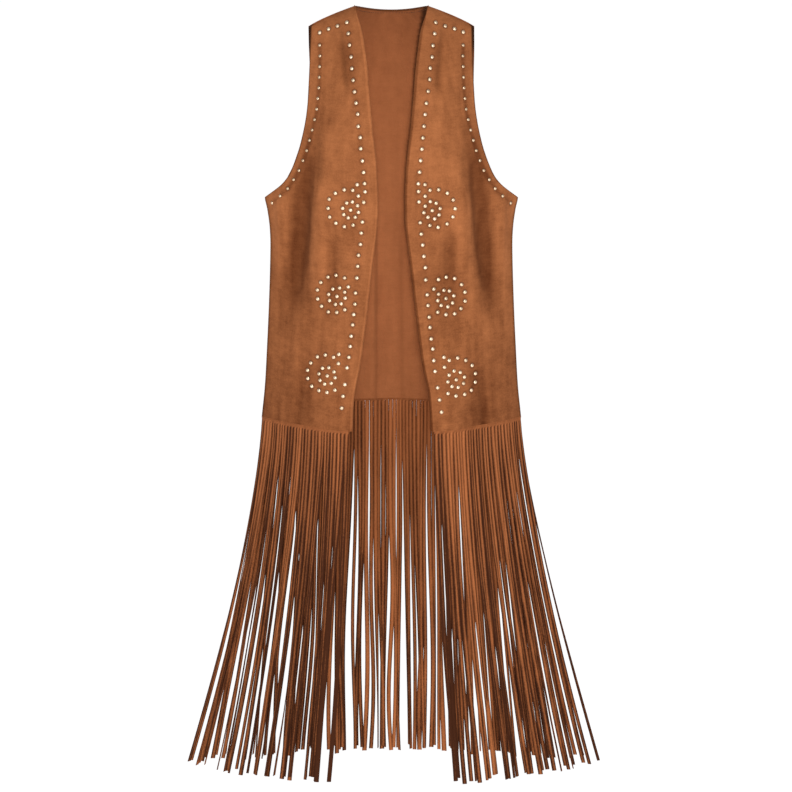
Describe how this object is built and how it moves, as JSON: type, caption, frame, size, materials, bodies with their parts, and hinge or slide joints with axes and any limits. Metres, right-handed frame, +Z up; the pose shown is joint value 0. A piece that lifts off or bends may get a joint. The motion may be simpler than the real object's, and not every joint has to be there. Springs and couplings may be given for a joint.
{
  "type": "western vest",
  "caption": "Sleeveless open-front vest in brown imitation suede, filled out as worn, with a long strand fringe along the hem.",
  "frame": {"origin": "midway between the two points where the shoulder seams meet the neck, level with them; the shoulders hold the vest up there", "axes": "+Z up, from the fringe to the shoulders; the front faces -Y and the back +Y; the wearer's left is +X"},
  "size_m": [0.5431, 0.2295, 1.0571],
  "materials": {
    "suede": "brown imitation suede with a short soft nap, matt",
    "fringe": "the same imitation suede cut into strands, darker between them",
    "studs": "pale metal domes, polished"
  },
  "bodies": {
    "root": {"back": "suede", "front_left": "suede", "front_right": "suede", "fringe_back": "fringe", "fringe_front_left": "fringe", "fringe_front_right": "fringe"}
  },
  "joints": []
}
